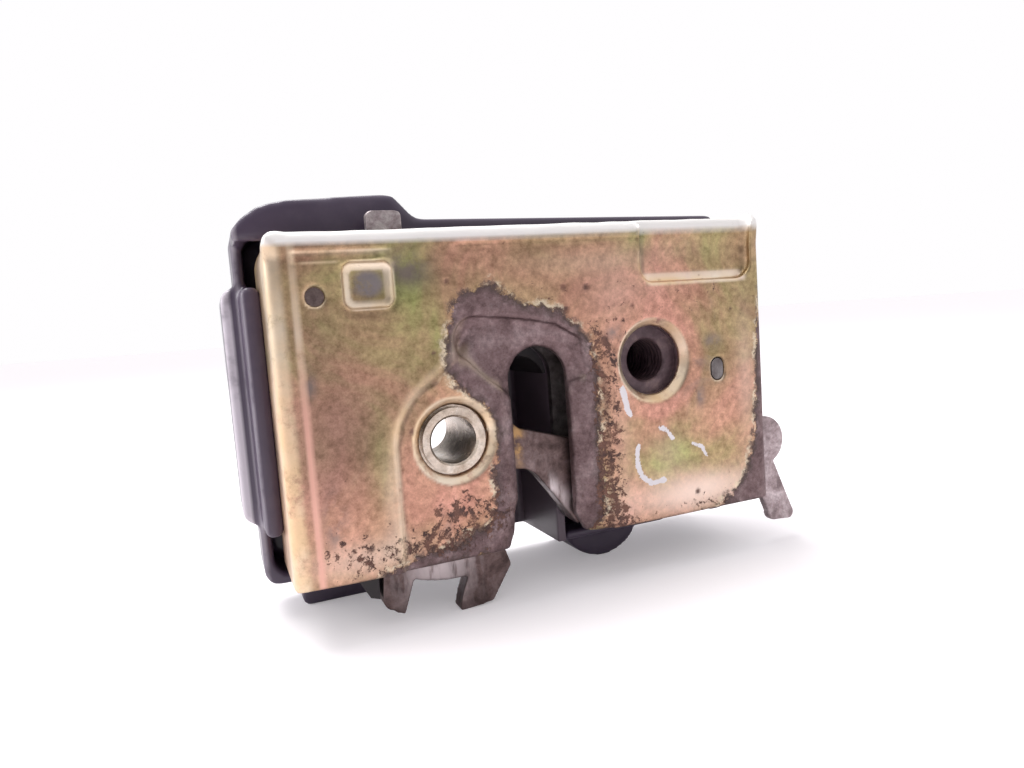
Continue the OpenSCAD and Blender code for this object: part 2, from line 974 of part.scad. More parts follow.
// Hood over the locking lever's rod, with its sloped left shoulder
module hood_outline(grow) {
    x0 = cover_left - grow;
    z1 = hood_top + grow;
    x1 = hood_right + grow;
    polygon([
        [x0, top - 10],
        [x1 + 5.1, top - 10],
        [x1 + 5.1, cover_top + grow],
        [x1 + 3.4, cover_top + 0.6 + grow],
        [x1 + 1.6, z1 - 2],
        [x1, z1 - 0.3],
        [x1 - 2, z1],
        [x0 + 9.6, z1 - 1],
        [x0 + 7, z1 - 1.4],
        [x0 + 4.5, z1 - 2.2],
        [x0 + 1.8, z1 - 4.1],
        [x0, z1 - 6.2]
    ]);
}

// Side panel that stands out to the left
module panel_outline(grow) {
    rounded(panel_left - grow, bottom + 8 - grow, cover_left + 8, top - 6.6 + grow, 2.5);
}

// Socket for the lock motor's plug, under the cover's rear left end
module socket_outline(grow) {
    rounded(socket_x[0] - grow, -foot_drop - grow, socket_x[1] + grow, cover_bottom + 4, 1.5);
}

// Round foot under the cover
module foot_outline(grow) {
    disc([foot_x, foot_r - foot_drop], foot_r + grow);
}

// Round housing of the lock motor, standing out of the cover's back
module motor_housing(shrink) {
    length = motor_len + 2 * (cover_wall + 0.5 - shrink);
    translate([motor_left - cover_wall - 0.5 + shrink, motor_y, motor_z])
        rotate([0, 90, 0])
            cylinder(h = length, r = housing_r - shrink);
}

module rear_cover() {
    color([0.2, 0.18, 0.21]) in_frame()
        difference() {
            union() {
                difference() {
                    union() {
                        slab(cover_front, flat_back)
                            cover_outline(0);
                        intersection() {
                            motor_housing(0);
                            slab(motor_y, cover_back)
                                cover_outline(0);
                        }
                        slab(side_y, flat_back)
                            panel_outline(0);
                        slab(foot_front, flat_back - 1)
                            foot_outline(0);
                        slab(socket_front, flat_back)
                            socket_outline(0);
                    }
                    // Hollow inside, behind a front wall that stands over the plate's upper edge
                    slab(cover_front + cover_wall, flat_back - cover_wall)
                        cover_outline(-cover_wall);
                    slab(cover_front - 1, cover_front + cover_wall + eps)
                        translate([cover_left + cover_wall, cover_bottom + cover_wall])
                            square([cover_right - cover_left - 2 * cover_wall, top - 3 - cover_bottom - cover_wall]);
                    slab(side_y - 1, flat_back - cover_wall)
                        panel_outline(-cover_wall);
                    slab(foot_front + cover_wall, flat_back - 1 - cover_wall)
                        foot_outline(-cover_wall);
                    motor_housing(cover_wall);
                    // Mouth of the plug's socket
                    translate([socket_x[0] + cover_wall, socket_front + cover_wall, -foot_drop - 1])
                        cube([
                            socket_x[1] - socket_x[0] - 2 * cover_wall,
                            flat_back - socket_front - 2 * cover_wall,
                            foot_drop + cover_bottom
                        ]);
                    // The side of the cover starts behind the steel flange
                    translate([cover_left - 10, 0, -big])
                        cube([plate_left, side_y, big + top + 0.8]);
                }
                // Rail along the flange's rear edge
                slab(side_flange - 8, side_y + 3)
                    rounded(left - 3.7, bottom + 7, left - 0.3, top - 7, 1.5);
                // Bosses for the screws
                for (at = screw_places)
                    bar(at, inner_back, flat_back - 1, boss_r);
            }
            for (at = screw_places)
                bar(at, inner_back - 1, flat_back + 1, screw_r);
            // Opening behind the claw's bush and way out for the rods
            bar([7, -5], flat_back - 6, flat_back + 1, 9);
            translate([slot_left - 2.8, cover_front - 1, cover_bottom - 5])
                cube([slot_w + 5.6, 33 - cover_front, 8]);
            translate([foot_x + 14, cover_front - 1, cover_bottom - 5])
                cube([12, 12, 8]);
        }
}

// Motor that drives the lock link, seated in the round housing
module lock_motor() {
    neck_r = 3;
    neck_len = 1.2;
    color("silver") in_frame()
        translate([motor_left, motor_y, motor_z])
            rotate([0, 90, 0]) {
                cylinder(h = motor_len, r = motor_r);
                translate([0, 0, -neck_len])
                    cylinder(h = neck_len + eps, r = neck_r);
            }
}

module cover_screws() {
    color("silver") in_frame()
        for (at = screw_places) {
            bar(at, inner_y - 0.4, flat_back, screw_r);
            difference() {
                bar(at, flat_back, flat_back + 1.6, screw_r + 1.5);
                translate([at[0] - 0.4, flat_back + 0.8, at[1] - 5])
                    cube([0.8, 3, 10]);
            }
        }
}

latch_plate();
inner_plate();
claw_bush();
pawl_bush();
claw();
pawl();
drive_pin();
outside_lever();
release_lever();
lever_pin();
lock_pin();
locking_lever();
link_pin();
lock_link();
claw_stop();
buffer();
striker_guide();
striker_pad();
claw_spring();
pawl_spring();
bush_rings();
lever_clip();
rod_clip();
lock_motor();
rear_cover();
cover_screws();
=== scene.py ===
import json
import math

import bmesh
import bpy
import numpy as np
from mathutils import Matrix, Vector, noise


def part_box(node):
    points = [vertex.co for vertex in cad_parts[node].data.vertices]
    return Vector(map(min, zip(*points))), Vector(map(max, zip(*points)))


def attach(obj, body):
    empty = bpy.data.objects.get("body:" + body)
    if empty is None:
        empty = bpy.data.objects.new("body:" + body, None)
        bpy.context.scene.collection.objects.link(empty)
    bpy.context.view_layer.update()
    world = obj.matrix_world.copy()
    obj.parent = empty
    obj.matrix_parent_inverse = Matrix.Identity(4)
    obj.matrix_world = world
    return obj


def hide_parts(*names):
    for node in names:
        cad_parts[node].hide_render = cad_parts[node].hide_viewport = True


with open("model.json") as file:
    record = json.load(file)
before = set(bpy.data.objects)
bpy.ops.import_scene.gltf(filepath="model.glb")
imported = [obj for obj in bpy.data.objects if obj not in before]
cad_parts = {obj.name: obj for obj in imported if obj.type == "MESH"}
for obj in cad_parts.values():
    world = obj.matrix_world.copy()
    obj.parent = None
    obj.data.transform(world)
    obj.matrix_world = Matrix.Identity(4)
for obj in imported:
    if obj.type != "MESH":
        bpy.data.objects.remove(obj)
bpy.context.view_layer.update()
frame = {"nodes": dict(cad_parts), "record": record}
NODES = frame["nodes"]
MM = 0.001

# Places taken from the frame. Depths below are counted from the plate's front face, in mm
FRONT_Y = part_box("latch_plate")[0].y / MM
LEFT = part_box("latch_plate")[0].x / MM
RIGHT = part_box("latch_plate")[1].x / MM
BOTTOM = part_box("latch_plate")[0].z / MM
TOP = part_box("latch_plate")[1].z / MM
FLOOR_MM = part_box("rear_cover")[0].z / MM

# Camera, as fitted to the photograph's frame of 1024 by 768

LENS_MM, SENSOR_MM = 24.70, 36.0
CLIP_NEAR, CLIP_FAR = 0.005, 20.0
EYE = Vector((-38.55, -118.76 + FRONT_Y, 20.95)) * MM
LOOK = Vector((0.38613, 0.91796, -0.09083))
LEVEL_RIGHT = Vector((0.92177, -0.38773, 0.0))
LEVEL_UP = Vector((0.03522, 0.08372, 0.99587))
ROLL = math.radians(-4.204)


def make_camera():
    """The photograph's camera, from its fitted place, aim and roll."""
    right = LEVEL_RIGHT * math.cos(ROLL) + LEVEL_UP * math.sin(ROLL)
    up = LEVEL_UP * math.cos(ROLL) - LEVEL_RIGHT * math.sin(ROLL)
    data = bpy.data.cameras.new("camera")
    data.lens = LENS_MM
    data.sensor_width = SENSOR_MM
    data.clip_start = CLIP_NEAR
    data.clip_end = CLIP_FAR
    camera = bpy.data.objects.new("camera", data)
    turn = Matrix((right, up, -LOOK)).transposed().to_4x4()
    camera.matrix_world = Matrix.Translation(EYE) @ turn
    bpy.context.scene.collection.objects.link(camera)
    bpy.context.scene.camera = camera


make_camera()
bpy.context.scene.view_settings.view_transform = "Standard"

# Shader helpers


class Shader:
    """A small builder for one material's nodes."""

    def __init__(self, name):
        self.mat = bpy.data.materials.new(name)
        self.mat.use_nodes = True
        self.tree = self.mat.node_tree
        self.tree.nodes.clear()
        self.out = self.tree.nodes.new("ShaderNodeOutputMaterial")
        self.bsdf = self.tree.nodes.new("ShaderNodeBsdfPrincipled")
        self.link(self.bsdf.outputs["BSDF"], self.out.inputs["Surface"])
        self.coord = self.tree.nodes.new("ShaderNodeTexCoord").outputs["Object"]

    def link(self, a, b):
        self.tree.links.new(a, b)

    def put(self, socket, value):
        if isinstance(value, bpy.types.NodeSocket):
            self.link(value, socket)
        else:
            socket.default_value = value

    def noise(self, scale, detail=3.0, rough=0.55, warp=0.0, vec=None):
        n = self.tree.nodes.new("ShaderNodeTexNoise")
        self.put(n.inputs["Vector"], vec or self.coord)
        n.inputs["Scale"].default_value = scale
        n.inputs["Detail"].default_value = detail
        n.inputs["Roughness"].default_value = rough
        n.inputs["Distortion"].default_value = warp
        return n.outputs["Fac"]

    def stretched(self, factors):
        n = self.tree.nodes.new("ShaderNodeMapping")
        self.link(self.coord, n.inputs["Vector"])
        n.inputs["Scale"].default_value = factors
        return n.outputs["Vector"]

    def axis(self, index):
        n = self.tree.nodes.new("ShaderNodeSeparateXYZ")
        self.link(self.coord, n.inputs[0])
        return n.outputs[index]

    def attr(self, name):
        n = self.tree.nodes.new("ShaderNodeAttribute")
        n.attribute_name = name
        return n.outputs["Fac"]

    def math(self, op, a, b=0.0, clamp=False):
        n = self.tree.nodes.new("ShaderNodeMath")
        n.operation = op
        n.use_clamp = clamp
        self.put(n.inputs[0], a)
        self.put(n.inputs[1], b)
        return n.outputs[0]

    def step(self, value, low, high, to_low=0.0, to_high=1.0):
        n = self.tree.nodes.new("ShaderNodeMapRange")
        n.interpolation_type = "SMOOTHSTEP"
        self.put(n.inputs["Value"], value)
        n.inputs["From Min"].default_value = low
        n.inputs["From Max"].default_value = high
        n.inputs["To Min"].default_value = to_low
        n.inputs["To Max"].default_value = to_high
        return n.outputs["Result"]

    def centred(self, value, gain):
        return self.math("MULTIPLY", self.math("SUBTRACT", value, 0.5), gain)

    def broken(self, field, value, low, high):
        """A field with ragged gaps where the value is below its step."""
        return self.math("MULTIPLY", field, self.step(value, low, high))

    def ramp(self, value, stops):
        n = self.tree.nodes.new("ShaderNodeValToRGB")
        self.put(n.inputs["Fac"], value)
        ramp = n.color_ramp
        while len(ramp.elements) < len(stops):
            ramp.elements.new(0.5)
        for element, (place, colour) in zip(ramp.elements, stops):
            element.position = place
            element.color = (*colour, 1.0)
        return n.outputs["Color"]

    def mix(self, factor, a, b, blend="MIX"):
        n = self.tree.nodes.new("ShaderNodeMix")
        n.data_type = "RGBA"
        n.blend_type = blend
        self.put(n.inputs["Factor"], factor)
        for socket, value in ((n.inputs[6], a), (n.inputs[7], b)):
            self.put(socket, (*value, 1.0) if isinstance(value, tuple) else value)
        return n.outputs[2]

    def bump(self, height, distance, strength=1.0, under=None):
        n = self.tree.nodes.new("ShaderNodeBump")
        n.inputs["Strength"].default_value = strength
        n.inputs["Distance"].default_value = distance
        self.put(n.inputs["Height"], height)
        if under is not None:
            self.link(under, n.inputs["Normal"])
        return n.outputs["Normal"]

    def set(self, **values):
        for name, value in values.items():
            socket = self.bsdf.inputs[name.replace("_", " ")]
            if isinstance(value, tuple):
                value = (*value, 1.0)
            self.put(socket, value)
        return self.mat


# Materials

# How strongly the drawn fields of tint and rust act, and the two noises on the worn edge
TINT_GAIN, RUST_GAIN, RAGGED_GAIN, COARSE_GAIN = 0.14, 0.185, 5.0, 4.0


def zinc_film(s):
    """Yellow-passivated zinc, olive to pink, with grain, smears, shade and sheen."""
    drift = s.math("MULTIPLY", s.attr("tint"), TINT_GAIN)
    film = s.ramp(s.math("ADD", s.noise(34, 5, 0.6, 1.2), drift), [
        (0.26, (0.39, 0.40, 0.16)),
        (0.40, (0.46, 0.365, 0.19)),
        (0.52, (0.51, 0.335, 0.21)),
        (0.64, (0.585, 0.335, 0.235)),
        (0.80, (0.65, 0.34, 0.265)),
    ])
    grain = s.ramp(s.noise(700, 4, 0.75), [
        (0.30, (0.60, 0.575, 0.55)),
        (0.70, (1.22, 1.22, 1.22)),
    ])
    film = s.mix(1.0, film, grain, "MULTIPLY")
    cloud = s.ramp(s.noise(95, 5, 0.65, 0.6), [
        (0.34, (0.80, 0.78, 0.76)),
        (0.66, (1.1, 1.1, 1.1)),
    ])
    film = s.mix(1.0, film, cloud, "MULTIPLY")
    smear = s.math("MAXIMUM", s.broken(0.5, s.noise(60, 5, 0.65, 0.8), 0.60, 0.76),
                   s.broken(s.attr("dirt"), s.noise(210, 4, 0.6), 0.34, 0.6))
    film = s.mix(smear, film, (0.24, 0.19, 0.18))
    film = s.mix(s.step(s.attr("shade"), 0.0, 1.0), film, (0.52, 0.56, 0.60), "MULTIPLY")
    return s.mix(s.step(s.attr("glare"), 0.0, 1.0), film, (0.93, 0.76, 0.66))


def worn_grey(s):
    """Mottled grey metal where the film is gone."""
    grey = s.ramp(s.noise(150, 7, 0.72), [
        (0.32, (0.118, 0.076, 0.078)),
        (0.50, (0.23, 0.158, 0.162)),
        (0.70, (0.37, 0.285, 0.29)),
    ])
    grit = s.ramp(s.noise(900, 4, 0.8), [(0.30, (0.62, 0.60, 0.60)), (0.70, (1.2, 1.2, 1.2))])
    return s.mix(1.0, grey, grit, "MULTIPLY")


def zinc_material():
    """The plate's zinc film, worn to grey round the slot, with rust, rubbed edges with painted
    highlights, and paint.
    """
    s = Shader("zinc")
    film = zinc_film(s)

    # Worn zones with a ragged edge, a dark brown rim, and a pale broken line beside it
    ragged = s.centred(s.noise(520, 6, 0.75), RAGGED_GAIN)
    coarse = s.centred(s.noise(120, 3, 0.6), COARSE_GAIN)
    worn_field = s.math("ADD", s.math("ADD", s.attr("worn"), ragged), coarse)
    worn = s.step(worn_field, -0.15, 0.3)
    near = s.math("MULTIPLY", s.step(worn_field, -1.5, -0.2), s.step(worn_field, 1.7, 0.1))
    rim = s.broken(near, s.noise(380, 6, 0.75), 0.42, 0.50)
    pale = s.math("MULTIPLY", s.step(worn_field, -1.7, -0.7), s.step(worn_field, -0.2, -0.6))
    pale = s.broken(pale, s.noise(330, 4, 0.6), 0.47, 0.6)

    # Rust in specks, dense where its field is high, and single pits
    specks = s.math("ADD", s.noise(640, 6, 0.8), s.math("MULTIPLY", s.attr("rust"), RUST_GAIN))
    rust = s.math("MAXIMUM", s.step(specks, 0.655, 0.70), s.attr("pit"))
    brown = s.ramp(s.noise(300, 4, 0.7), [
        (0.35, (0.055, 0.026, 0.024)),
        (0.65, (0.21, 0.095, 0.065)),
    ])

    colour = s.mix(worn, film, worn_grey(s))
    colour = s.mix(s.math("MULTIPLY", rim, 0.85), colour, (0.075, 0.045, 0.042))
    colour = s.mix(s.math("MULTIPLY", pale, 0.75), colour, (0.82, 0.70, 0.52))
    colour = s.mix(rust, colour, brown)
    # Bare floor of the square recess
    bare = s.broken(s.attr("bare"), s.noise(170, 5, 0.7), 0.30, 0.54)
    colour = s.mix(bare, colour, (0.27, 0.24, 0.26))
    # A pink painted highlight along the left bend, edges rubbed to pale metal mixed with painted
    # highlights, the top bend painted near white as a highlight
    colour = s.mix(s.attr("salmon"), colour, (0.74, 0.42, 0.34))
    wear_and_highlight = s.broken(s.attr("wear_and_highlight"), s.noise(240, 5, 0.7), 0.25, 0.5)
    wear_and_highlight = s.math("MULTIPLY", wear_and_highlight, s.step(worn, 0.0, 1.0, 1.0, 0.35))
    polish = s.ramp(s.noise(55, 3, 0.6), [(0.38, (0.84, 0.62, 0.38)), (0.62, (0.93, 0.81, 0.66))])
    colour = s.mix(wear_and_highlight, colour, polish)
    top_bend_highlight = s.broken(s.attr("top_bend_highlight"), s.noise(190, 6, 0.75), 0.20, 0.34)
    colour = s.mix(top_bend_highlight, colour, (0.88, 0.86, 0.85))
    # Dabs of paint
    paint_edge = s.centred(s.noise(700, 4, 0.7), 1.6)
    paint = s.step(s.math("ADD", s.attr("paint"), paint_edge), -0.05, 0.12)
    colour = s.mix(paint, colour, (0.80, 0.76, 0.79))

    dull = s.math("MAXIMUM", rust, rim, clamp=True)
    matt = s.math("MAXIMUM", s.math("MAXIMUM", dull, paint), top_bend_highlight)
    metal = s.math("SUBTRACT", 0.95, s.math("MULTIPLY", matt, 0.8))
    gloss = s.math("ADD", s.step(s.noise(90, 4, 0.6), 0.3, 0.7, 0.31, 0.43),
                   s.math("MULTIPLY", s.math("MAXIMUM", worn, dull), 0.17))
    normal = s.bump(s.noise(900, 5, 0.7), 0.00004, 0.5)
    normal = s.bump(s.math("MULTIPLY", worn, s.noise(380, 6, 0.75)), 0.0003, 0.8, normal)
    normal = s.bump(s.math("SUBTRACT", 1.0, rust), 0.00012, 0.7, normal)
    normal = s.bump(s.noise(26, 2, 0.5), 0.0006, 0.3, normal)
    return s.set(Base_Color=colour, Metallic=metal, Roughness=gloss, Normal=normal)


THREAD_PITCH = 1.25 * MM


def steel_material(name, low, mid, high, rough, metal=0.9, rust=0.0, scale=200.0, thread=0.0,
                   marks=False):
    """Bare or plated steel with a mottled film, rust, a fine thread, and the claw's marks."""
    s = Shader(name)
    colour = s.ramp(s.noise(scale, 6, 0.68, 0.4), [(0.32, low), (0.5, mid), (0.68, high)])
    grit = s.ramp(s.noise(scale * 4.5, 4, 0.75), [
        (0.3, (0.7, 0.7, 0.7)),
        (0.7, (1.15, 1.15, 1.15)),
    ])
    colour = s.mix(1.0, colour, grit, "MULTIPLY")
    rusted = s.step(s.noise(scale * 1.9, 5, 0.7), 0.74 - rust, 0.82 - rust)
    colour = s.mix(rusted, colour, (0.12, 0.06, 0.04))
    gloss = s.math("ADD", s.step(s.noise(scale * 0.6, 4), 0.3, 0.7, rough - 0.06, rough + 0.08),
                   s.math("MULTIPLY", rusted, 0.3))
    if marks:
        streaks = s.noise(260, 4, 0.7, 0.0, s.stretched((1.0, 1.0, 0.25)))
        polish = s.broken(s.attr("polish"), streaks, 0.42, 0.6)
        colour = s.mix(polish, colour, (0.62, 0.55, 0.56))
        gloss = s.math("SUBTRACT", gloss, s.math("MULTIPLY", polish, 0.14))
        gold = s.broken(s.attr("gold"), s.noise(300, 4, 0.6), 0.36, 0.56)
        colour = s.mix(gold, colour, (0.50, 0.30, 0.13))
    normal = s.bump(s.noise(scale * 4, 5, 0.7), 0.00006, 0.6)
    normal = s.bump(s.noise(scale * 0.8, 4, 0.6), 0.0002, 0.4, normal)
    if thread:
        turns = s.math("SINE", s.math("MULTIPLY", s.axis(1), 2 * math.pi / THREAD_PITCH))
        normal = s.bump(turns, thread, 0.9, normal)
    return s.set(Base_Color=colour, Metallic=s.step(rusted, 0.0, 1.0, metal, 0.15),
                 Roughness=gloss, Normal=normal)


def plastic_material(name, low, high, rough, edges=False):
    """Moulded plastic with a little dust and fine scratches, and the cover's painted highlights on
    the edge and rib of its left panel.
    """
    s = Shader(name)
    dust = s.step(s.noise(70, 5, 0.65), 0.45, 0.75)
    colour = s.mix(dust, low, high)
    if edges:
        # Painted highlight where the pale field is set
        pale = s.broken(s.attr("pale"), s.noise(120, 4, 0.6), 0.2, 0.5)
        colour = s.mix(pale, colour, (0.60, 0.55, 0.61))
    scratch = s.noise(60, 3, 0.6, 0.0, s.stretched((1.0, 1.0, 14.0)))
    gloss = s.math("ADD", s.step(scratch, 0.3, 0.7, rough - 0.01, rough + 0.02),
                   s.math("MULTIPLY", dust, 0.12))
    normal = s.bump(s.noise(1500, 3, 0.6), 0.00002, 0.5)
    return s.set(Base_Color=colour, Metallic=0.0, Roughness=gloss, Normal=normal)


ZINC = zinc_material()
CLAW_STEEL = steel_material("claw_steel", (0.065, 0.043, 0.040), (0.145, 0.098, 0.094),
                            (0.25, 0.185, 0.182), 0.42, rust=0.06, marks=True)
INNER_STEEL = steel_material("inner_steel", (0.10, 0.085, 0.085), (0.18, 0.16, 0.16),
                             (0.26, 0.24, 0.24), 0.5)
BUSH_STEEL = steel_material("bush_steel", (0.40, 0.31, 0.24), (0.62, 0.52, 0.43),
                            (0.76, 0.68, 0.60), 0.25)
DARK_BUSH = steel_material("dark_bush", (0.065, 0.036, 0.045), (0.12, 0.075, 0.086),
                           (0.23, 0.155, 0.155), 0.5, metal=0.3, rust=0.08, thread=0.00007)
LEVER_STEEL = steel_material("lever_steel", (0.22, 0.165, 0.17), (0.40, 0.32, 0.33),
                             (0.64, 0.55, 0.565), 0.42, rust=0.05, scale=280.0)
TAB_STEEL = steel_material("tab_steel", (0.22, 0.17, 0.175), (0.38, 0.32, 0.33),
                           (0.58, 0.53, 0.53), 0.5, rust=0.05, scale=330.0)
PIN_STEEL = steel_material("pin_steel", (0.10, 0.07, 0.07), (0.2, 0.15, 0.14),
                           (0.33, 0.27, 0.25), 0.42)
SPRING_STEEL = steel_material("spring_steel", (0.2, 0.2, 0.2), (0.36, 0.36, 0.36),
                              (0.5, 0.5, 0.5), 0.3)
COVER_PLASTIC = plastic_material("cover_plastic", (0.066, 0.048, 0.080),
                                 (0.09, 0.068, 0.104), 0.3, edges=True)
GUIDE_PLASTIC = plastic_material("guide_plastic", (0.12, 0.088, 0.112),
                                 (0.18, 0.138, 0.165), 0.36)
RUBBER = plastic_material("stop_rubber", (0.02, 0.016, 0.018), (0.04, 0.033, 0.036), 0.5)
CLIP_PLASTIC = plastic_material("clip_plastic", (0.62, 0.6, 0.56), (0.72, 0.7, 0.68), 0.45)

FINISH = {
    "zinc_plate": ZINC, "inner_steel": INNER_STEEL, "bush_steel": BUSH_STEEL,
    "claw_steel": CLAW_STEEL, "lever_steel": LEVER_STEEL, "tab_steel": TAB_STEEL,
    "pin_steel": PIN_STEEL, "spring_steel": SPRING_STEEL, "cover_plastic": COVER_PLASTIC,
    "guide_plastic": GUIDE_PLASTIC, "clip_plastic": CLIP_PLASTIC, "stop_rubber": RUBBER,
}
SLOT_OF = {row["node"]: row["material_slot"] for row in frame["record"]["subparts"]}
BODY_OF = {n: body for body, members in frame["record"]["behaviour"]["bodies"].items()
           for n in members}


def paint_node(obj, material):
    obj.data.materials.clear()
    obj.data.materials.append(material)


for node_name, node_obj in NODES.items():
    paint_node(node_obj, FINISH[SLOT_OF[node_name]])
paint_node(NODES["pawl_bush"], DARK_BUSH)

# Softened copies

WELD_REACH = 1e-6


def soft_copy(node, voxel_mm, passes, name):
    """A copy of a CAD node, remeshed and smoothed in some passes, that stands in its place."""
    source = NODES[node]
    obj = bpy.data.objects.new(name, source.data.copy())
    bpy.context.scene.collection.objects.link(obj)
    weld = obj.modifiers.new("weld", "WELD")
    weld.merge_threshold = WELD_REACH
    remesh = obj.modifiers.new("remesh", "REMESH")
    remesh.mode = "VOXEL"
    remesh.voxel_size = voxel_mm * MM
    smooth = obj.modifiers.new("smooth", "SMOOTH")
    smooth.factor = 0.5
    smooth.iterations = passes
    depsgraph = bpy.context.evaluated_depsgraph_get()
    mesh = bpy.data.meshes.new_from_object(obj.evaluated_get(depsgraph))
    obj.modifiers.clear()
    obj.data = mesh
    mesh.name = name
    mesh.polygons.foreach_set("use_smooth", [True] * len(mesh.polygons))
    paint_node(obj, FINISH[SLOT_OF[node]])
    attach(obj, BODY_OF[node])
    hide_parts(node)
    return obj


def points_of(mesh):
    """The mesh's points in mm, one row each."""
    co = np.empty(len(mesh.vertices) * 3, np.float64)
    mesh.vertices.foreach_get("co", co)
    return co.reshape(-1, 3) / MM


def move_points(mesh, points):
    mesh.vertices.foreach_set("co", (points * MM).astype(np.float32).ravel())
    mesh.update()


def add_field(mesh, name, values):
    field = mesh.attributes.new(name, "FLOAT", "POINT")
    field.data.foreach_set("value", np.asarray(values, np.float32))


def relax(mesh, values, weight, rounds):
    """Evens out a value over the mesh's neighbours, where weight allows it."""
    ends = np.empty(len(mesh.edges) * 2, np.int64)
    mesh.edges.foreach_get("vertices", ends)
    a, b = ends.reshape(-1, 2).T
    count = len(values)
    degree = np.bincount(a, minlength=count) + np.bincount(b, minlength=count)
    for _ in range(rounds):
        total = np.bincount(a, values[b], count) + np.bincount(b, values[a], count)
        values = values + weight * (total / np.maximum(degree, 1) - values)
    return values


def segment_distance(px, pz, a, b):
    """Distance from the points to the stretch from a to b, in mm."""
    dx, dz = b[0] - a[0], b[1] - a[1]
    t = np.clip(((px - a[0]) * dx + (pz - a[1]) * dz) / max(dx * dx + dz * dz, 1e-9), 0, 1)
    return np.hypot(px - a[0] - t * dx, pz - a[1] - t * dz)


def polygon_field(px, pz, polygon):
    """Signed distance to a closed outline in mm, positive inside."""
    best = np.full(px.shape, 1e9)
    inside = np.zeros(px.shape, bool)
    for a, b in zip(polygon, polygon[1:] + polygon[:1]):
        best = np.minimum(best, segment_distance(px, pz, a, b))
        crosses = (a[1] > pz) != (b[1] > pz)
        at = (b[0] - a[0]) * (pz - a[1]) / ((b[1] - a[1]) or 1e-9) + a[0]
        inside ^= crosses & (px < at)
    return np.where(inside, best, -best)


def line_field(px, pz, line):
    """Distance to an open line of several stretches, in mm."""
    best = np.full(px.shape, 1e9)
    for a, b in zip(line, line[1:]):
        best = np.minimum(best, segment_distance(px, pz, a, b))
    return best


def ease(value, low, high):
    """A smooth rise from 0 at low to 1 at high."""
    t = np.clip((value - low) / (high - low), 0, 1)
    return t * t * (3 - 2 * t)


def band(distance, outer, inner):
    """A soft line along distance 0, full up to inner and gone at outer."""
    return ease(-np.abs(distance), -outer, -inner)


def hump(px, pz, x, z, rx, rz, turn=0.0):
    """A soft round hill of height 1 at a place."""
    c, s = math.cos(math.radians(turn)), math.sin(math.radians(turn))
    u = ((px - x) * c + (pz - z) * s) / rx
    w = (-(px - x) * s + (pz - z) * c) / rz
    return np.exp(-(u * u + w * w))


def hills(px, pz, rows):
    """Sum of humps. A row is x, z and two reaches, then its height (1) and its turn (0)."""
    total = 0.0
    for x, z, rx, rz, *more in rows:
        height = more[0] if more else 1.0
        total = total + height * hump(px, pz, x, z, rx, rz, *more[1:])
    return total


def normals_of(mesh):
    """The points' normals, as rows of x, y and z."""
    values = np.empty(len(mesh.vertices) * 3, np.float64)
    mesh.vertices.foreach_get("normal", values)
    return values.reshape(-1, 3).T


# Front plate: places in mm, seen from the front

# Striker slot: middle, half width, top, flare of its mouth, and the shift of its rim to the right
SLOT_X, SLOT_R, SLOT_TOP = 17.2, 6.1, 15.6
SLOT_FLARE, SLOT_SHIFT = 2.2, 0.9
BEND_R, BEND_POWER = 4.0, 5
# How far the left, right and top edges stand out of the solid's, and the top's rise to the right
LEFT_GROW, RIGHT_GROW, TOP_GROW, TOP_RISE = 0.5, 0.7, 0.9, 1.2
LEFT_HOLE, RIGHT_HOLE = (0.0, 0.0), (42.9, 10.8)
PIN_HOLE, TENON = (-22.3, 27.0), (58.6, 7.6)
# Rubbed rings round the two holes, and the pink halo round the right one
LEFT_RING, RIGHT_RING, HALO_RING = 7.4, 7.7, 10.5
# Square recess: middle, half sizes of its core, and radius of its corners
SQUARE_X, SQUARE_Z, SQUARE_ACROSS, SQUARE_UP, SQUARE_ROUND = -13.3, 28.5, 2.1, 1.8, 2.2
# Corner recess: its left wall and its foot
CORNER_LEFT, CORNER_FOOT = RIGHT - 28.6, TOP - 10.0
# Outlines of the worn zones and of the rusty strip, the strokes of paint with their half widths,
# and the crest of the pressed field
WORN_ZONE = [
    (8.5, 27.6), (6.4, 27.0), (2.7, 26.0), (1.2, 24.1), (0.5, 19.8), (-0.4, 16.3),
    (-1.1, 12.6), (2.1, 9.2), (5.9, 6.2), (8.2, 2.0), (8.2, -1.8), (7.3, -6.9),
    (6.9, -12.0), (5.4, -15.8), (-1.6, -18.6), (-9.0, -19.8), (-13.6, -21.0),
    (-17.0, -22.5), (26.0, -22.5), (28.9, -19.0), (29.2, -11.7), (29.2, -0.6),
    (29.6, 9.0), (28.8, 12.5), (27.4, 16.2), (25.6, 19.0), (22.4, 21.2), (17.6, 22.6),
    (13.4, 24.2), (10.5, 26.0),
]
WORN_CORNER = [
    (57.0, -22.5), (59.0, -20.8), (62.0, -18.6), (65.2, -15.5), (67.0, -9.0),
    (68.4, -2.0), (69.5, 6.0), (70.2, 16.0), (71.0, 25.0), (74.0, 27.0), (74.0, -22.5),
]
RUST_STRIP = [
    (28.0, 20.5), (31.5, 17.5), (34.6, 13.0), (34.6, 4.4), (34.3, -5.5), (34.6, -17.0),
    (36.5, -22.0), (27.5, -22.0), (28.2, -10.0), (28.6, 8.0),
]
PAINT_LINES = [
    ([(34.9, 5.6), (35.5, 3.0), (36.4, 0.6)], 0.65),
    ([(37.8, -6.0), (37.3, -9.0), (38.2, -12.2), (40.6, -14.1), (43.6, -13.9)], 0.55),
    ([(43.2, -3.0), (45.0, -3.9), (46.2, -5.6)], 0.5),
    ([(51.0, -7.4), (53.2, -8.2), (54.6, -10.2)], 0.35),
]
FIELD_EDGE = [
    (3.2, 17.8), (-0.4, 14.6), (-3.7, 11.9), (-7.6, 8.6), (-10.4, 4.2), (-11.5, 0.0),
    (-11.6, -8.0), (-11.3, -19.0),
]
